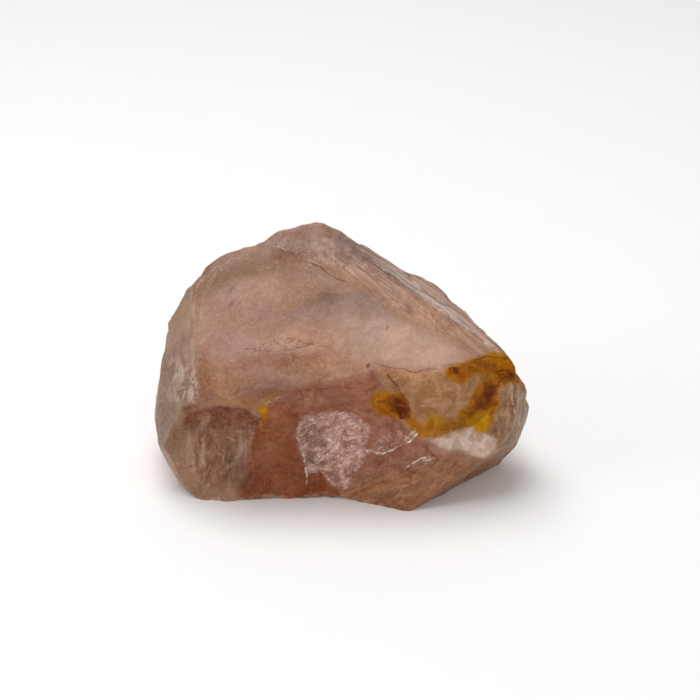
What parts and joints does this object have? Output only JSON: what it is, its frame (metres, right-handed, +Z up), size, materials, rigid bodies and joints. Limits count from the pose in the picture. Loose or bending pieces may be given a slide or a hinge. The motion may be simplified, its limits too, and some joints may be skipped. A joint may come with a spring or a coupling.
{
  "type": "rough rose quartz chunk",
  "caption": "Rough chunk of rose quartz with a broad sloping top, hollow broken front, stained right end and a flat resting face.",
  "frame": {"origin": "middle of the bounding box's footprint, on the flat resting face", "axes": "+X to the right end as seen in the picture, +Y away from the viewer, +Z up"},
  "size_m": [0.0766, 0.0514, 0.0506],
  "materials": {
    "rose_quartz": "waxy to glassy broken quartz, dusky pink with orange iron stains"
  },
  "bodies": {
    "root": {"rose_quartz_chunk": "rose_quartz"}
  },
  "joints": []
}
